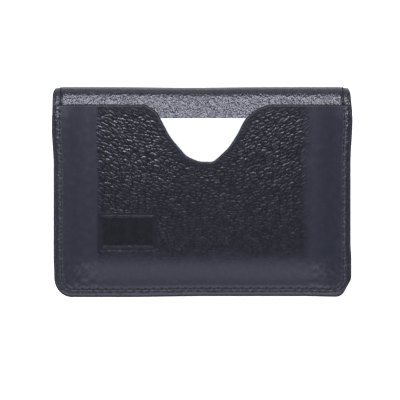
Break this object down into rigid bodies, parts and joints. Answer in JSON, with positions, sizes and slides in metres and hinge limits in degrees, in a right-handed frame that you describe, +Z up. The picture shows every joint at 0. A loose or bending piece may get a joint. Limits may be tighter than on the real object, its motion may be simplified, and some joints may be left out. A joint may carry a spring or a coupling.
{
  "type": "card holder",
  "caption": "Leather bifold card holder with its fold along the top, an outer slip pocket with a thumb notch, inner card slots and a plain white card.",
  "frame": {"origin": "centre of the base of the closed holder, lying on its back cover", "axes": "+X along the fold, +Y from the free edge to the fold, +Z up through the front cover and the outer pocket"},
  "size_m": [0.098, 0.068, 0.0105],
  "materials": {
    "outer_leather": "semi-gloss pebbled grain",
    "pocket_leather": "semi-gloss pebbled grain, burnished border",
    "lining_leather": "matt smooth",
    "slot_leather": "satin fine grain",
    "fibre_board": "matt bonded leather board",
    "thread": "matt polyester",
    "card": "satin"
  },
  "bodies": {
    "back_half": {"back_cover": "outer_leather", "back_board": "fibre_board", "back_lining": "lining_leather", "back_tall_slot": "slot_leather", "back_short_slot": "slot_leather", "back_stitching": "thread"},
    "spine_back": {"spine_back_cover": "outer_leather", "spine_back_lining": "lining_leather", "spine_back_stitching": "thread"},
    "spine_front": {"spine_front_cover": "outer_leather", "spine_front_lining": "lining_leather", "spine_front_stitching": "thread"},
    "front_half": {"front_cover": "outer_leather", "front_board": "fibre_board", "front_lining": "lining_leather", "front_tall_slot": "slot_leather", "front_short_slot": "slot_leather", "front_pocket": "pocket_leather", "front_stitching": "thread"},
    "card": {"front_card": "card"}
  },
  "joints": [
    {"name": "back_crease", "type": "hinge", "parent": "back_half", "child": "spine_back", "pos_m": [0, 0.0304, 0], "axis": [-1, 0, 0], "range_deg": [0, 42]},
    {"name": "middle_crease", "type": "hinge", "parent": "spine_back", "child": "spine_front", "pos_m": [0, 0.03398, 0.00322], "axis": [-1, 0, 0], "range_deg": [0, 84]},
    {"name": "front_crease", "type": "hinge", "parent": "spine_front", "child": "front_half", "pos_m": [0, 0.03115, 0.00712], "axis": [-1, 0, 0], "range_deg": [0, 54]},
    {"name": "card_slide", "type": "slide", "parent": "front_half", "child": "card", "axis": [0, 1, 0], "range_m": [0, 0.06]}
  ],
  "couplings": [
    {"joint": "middle_crease", "follows": "back_crease", "ratio": 2},
    {"joint": "front_crease", "follows": "back_crease", "ratio": 1.2857}
  ]
}
